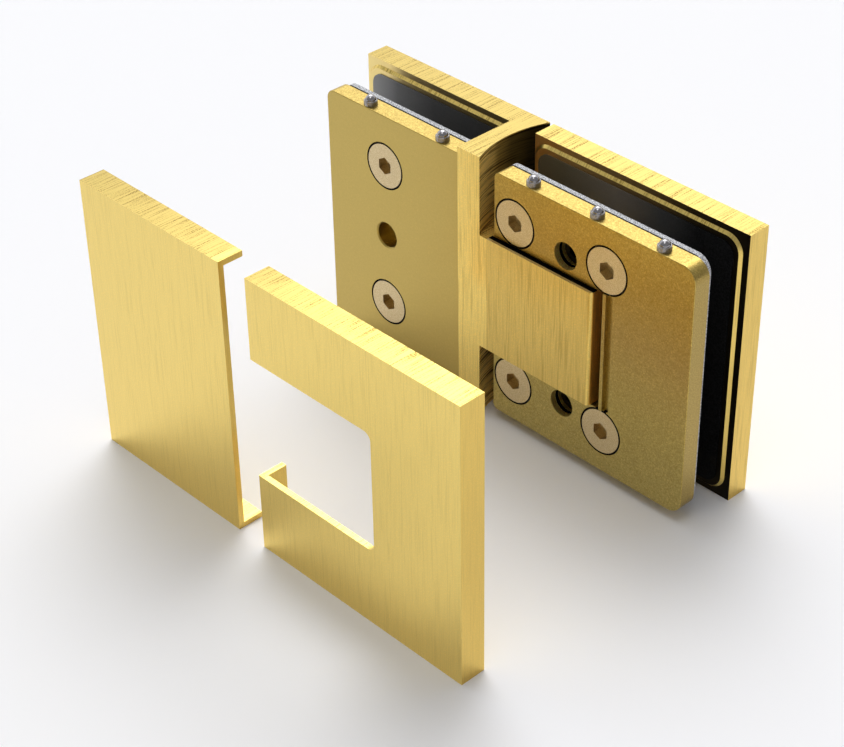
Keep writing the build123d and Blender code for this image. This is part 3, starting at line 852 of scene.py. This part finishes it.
@dataclass
class Pivot(SubAssembly):
    """Pin, bushes and the sprung plungers that centre the door."""

    def build(self) -> None:
        """Dress every piece of the pivot."""
        for node in ("pivot_pin", "cam_spring_plugs"):
            self.dress(node, SharedFinish.STEEL.value)
        self.dress("pin_lock_screws", SharedFinish.BLACK_STEEL.value)
        for end in ("upper", "lower"):
            self.dress(f"{end}_bush", SharedFinish.POLYMER.value)
            self.dress(f"{end}_cam_plunger", SharedFinish.STEEL.value)
            self.dress(f"{end}_cam_spring", SharedFinish.STEEL.value)


@dataclass
class Detents(SubAssembly):
    """Sprung pins in the plates' edges that hold the covers."""

    sleeve_nodes: tuple[str, ...] = ("fixed_plunger_sleeves", "leaf_plunger_sleeves")

    def build(self) -> None:
        """Dress sleeves, pins and springs."""
        for node in self.sleeve_nodes:
            self.dress(node, SharedFinish.SLEEVE.value)
        for node in sorted(self.nodes):
            if "_detent_" in node:
                self.dress(node, SharedFinish.BALL.value)
            elif node.startswith(("fixed_spring_", "leaf_spring_")):
                self.dress(node, SharedFinish.STEEL.value)


@dataclass
class Covers(SubAssembly):
    """The two push-on covers, pulled off to the front."""

    cover_nodes: tuple[str, ...] = ("fixed_cover", "leaf_cover")
    fixed_top_shade: tuple[Patch, ...] = (
        # Painted shade on the upper edge, darker towards the left end
        Patch(((0.0, grey(0.57)), (0.6, grey(0.64)), (1.0, grey(0.72))), x=(BODY_LEFT, -44.0),
              z=PLATE_TOP_Z, facing=Axis.Z, blend=Blend.TINT),
    )
    leaf_top_shade: tuple[Patch, ...] = (
        # Painted shade on the upper edge, darker towards the left end
        Patch(((0.0, grey(0.58)), (0.35, grey(0.80)), (1.0, grey(0.92))), x=(-35.0, 49.0),
              z=PLATE_TOP_Z, facing=Axis.Z, blend=Blend.TINT),
    )

    def build(self) -> None:
        """Dress both covers."""
        fixed, leaf = self.cover_nodes
        self.dress(fixed, BrushedGold("brushed_gold_fixed_cover", patches=self.fixed_top_shade))
        self.dress(leaf, BrushedGold("brushed_gold_leaf_cover", patches=self.leaf_top_shade))


def spread(low: float, high: float, count: int) -> list[float]:
    """Centres of screw heads that stand evenly in a row.

    Args:
        low: Lower end of the row.
        high: Upper end of the row.
        count: How many there are.

    Returns:
        The centres, in order.
    """
    run = high - low - 2 * HEAD_RADIUS
    return [low + HEAD_RADIUS + run * i / max(count - 1, 1) for i in range(count)]


def screw_places(node: str, columns: int, rows: int) -> Axes:
    """Axes of countersunk screws that stand in a regular grid.

    Args:
        node: Node that holds the screws as one group.
        columns: How many stand side by side along X.
        rows: How many stand one above the other.

    Returns:
        The x and z of each screw's axis.
    """
    low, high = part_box(node)
    return tuple((x, z) for x in spread(low.x, high.x, columns)
                 for z in spread(low.z, high.z, rows))


@dataclass
class Studio:
    """Pale floor, soft light from above and behind, and the camera."""

    floor_half: float = 4.0
    floor_drop: float = 0.02 * MM
    floor_colour: Colour = (0.955, 0.958, 0.985, 1.0)
    floor_roughness: float = 0.85
    dome_level: float = 0.30
    wall_level: float = 0.68
    wall_aim: tuple[float, float] = (-0.75, 0.60)
    wall_edge: Span = (0.0, 0.55)
    glow_level: float = 4.5
    glow_direction: tuple[float, float, float] = (-0.385, 0.405, 0.83)
    glow_edge: Span = (0.90, 0.995)
    box_level: float = 2.0
    box_centre: tuple[float, float] = (0.11, -0.22)
    box_half: float = 0.20
    box_blur: float = 0.03
    box_rise: Span = (0.0, 0.1)
    camera_place: tuple[float, float, float] = (0.338957, -0.385786, 0.387766)
    camera_look: tuple[float, float, float] = (-1.0, 1.0, -1.0)
    lens: float = 90.93
    sensor: float = 36.0
    shift: tuple[float, float] = (-0.0666, -0.00425)
    clip: Span = (0.01, 20.0)

    def build(self) -> None:
        """Set up floor, light and camera."""
        self.lay_floor()
        self.light_world()
        self.set_camera()
        bpy.context.scene.view_settings.view_transform = "Standard"

    def lay_floor(self) -> None:
        """Lay the pale floor under the lower edges."""
        bpy.ops.object.select_all(action="DESELECT")
        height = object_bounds()[0].z - self.floor_drop
        bpy.ops.mesh.primitive_plane_add(size=2 * self.floor_half, location=(0.0, 0.0, height))
        floor = bpy.context.object
        floor.name = "floor"
        material = bpy.data.materials.new("pale_floor")
        material.use_nodes = True
        graph = NodeGraph(material.node_tree)
        graph.finish(graph.node("ShaderNodeBsdfPrincipled", None, {
            "Base Color": self.floor_colour, "Roughness": self.floor_roughness}))
        floor.data.materials.append(material)
        floor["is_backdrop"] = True

    def light_world(self) -> None:
        """Light the scene from a dome, a pale wall behind, a round lamp and a square one."""
        world = bpy.data.worlds.new("studio")
        bpy.context.scene.world = world
        world.use_nodes = True
        graph = NodeGraph(world.node_tree)
        x, y, z = graph.parts_of(graph.node("ShaderNodeTexCoord").outputs["Generated"])
        aim = Vector(self.glow_direction).normalized()
        closeness = x * aim.x + y * aim.y + z * aim.z
        inner, outer = self.box_half - self.box_blur, self.box_half + self.box_blur
        box = abs(x - self.box_centre[0]).between(outer, inner)
        box = box * abs(y - self.box_centre[1]).between(outer, inner) * z.between(*self.box_rise)
        behind = x * self.wall_aim[0] + y * self.wall_aim[1]
        level = (self.dome_level + behind.between(*self.wall_edge) * self.wall_level
                 + closeness.between(*self.glow_edge) * self.glow_level + box * self.box_level)
        graph.finish(graph.node("ShaderNodeBackground", None,
                                {"Color": grey(1.0), "Strength": level}),
                     "ShaderNodeOutputWorld")

    def set_camera(self) -> None:
        """Stand the camera in front, above and to the right."""
        data = bpy.data.cameras.new("camera")
        camera = bpy.data.objects.new("camera", data)
        bpy.context.scene.collection.objects.link(camera)
        camera.location = self.camera_place
        camera.rotation_mode = "QUATERNION"
        camera.rotation_quaternion = Vector(self.camera_look).to_track_quat("-Z", "Y")
        data.lens = self.lens
        data.sensor_width = self.sensor
        data.shift_x, data.shift_y = self.shift
        data.clip_start, data.clip_end = self.clip
        bpy.context.scene.camera = camera


def main() -> None:
    """Load the frame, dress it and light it."""
    logging.basicConfig(level=logging.INFO, format="%(name)s: %(message)s")
    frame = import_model()
    nodes = frame["nodes"]
    for group in (FixedSide(nodes), Leaf(nodes), Pivot(nodes), Detents(nodes), Covers(nodes)):
        group.build()
        LOG.info("%s: %d pieces", type(group).__name__, len(group.dressed))
    Studio().build()


if __name__ == "__main__":
    main()
